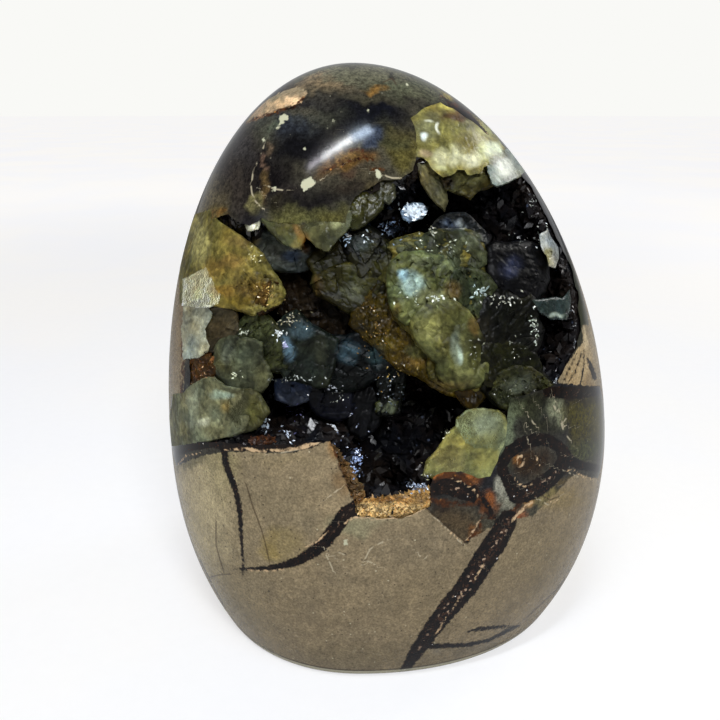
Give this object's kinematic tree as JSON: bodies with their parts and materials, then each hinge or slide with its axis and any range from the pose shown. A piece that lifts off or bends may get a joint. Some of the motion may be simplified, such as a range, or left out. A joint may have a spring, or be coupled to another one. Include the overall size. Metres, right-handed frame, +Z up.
{
  "type": "septarian nodule",
  "caption": "Polished septarian nodule, an egg of grey limestone sawn flat to stand, with an open hollow in its front lined with calcite crystals.",
  "frame": {"origin": "centre of the object's plan outline, on the sawn base", "axes": "+Z up out of the base; the hollow opens toward -Y; +X is to the right as the hollow is faced"},
  "size_m": [0.092, 0.076, 0.11],
  "materials": {
    "limestone": "polished grey limestone",
    "calcite": "broken and grown calcite crystal, green-grey, glossy",
    "dark_druse": "black sparkling crystal lining",
    "honey_calcite": "honey-coloured calcite, glossy",
    "pale_calcite": "pale cream calcite, glossy"
  },
  "bodies": {
    "root": {"nodule": "limestone", "calcite_crust": "calcite"}
  },
  "joints": []
}
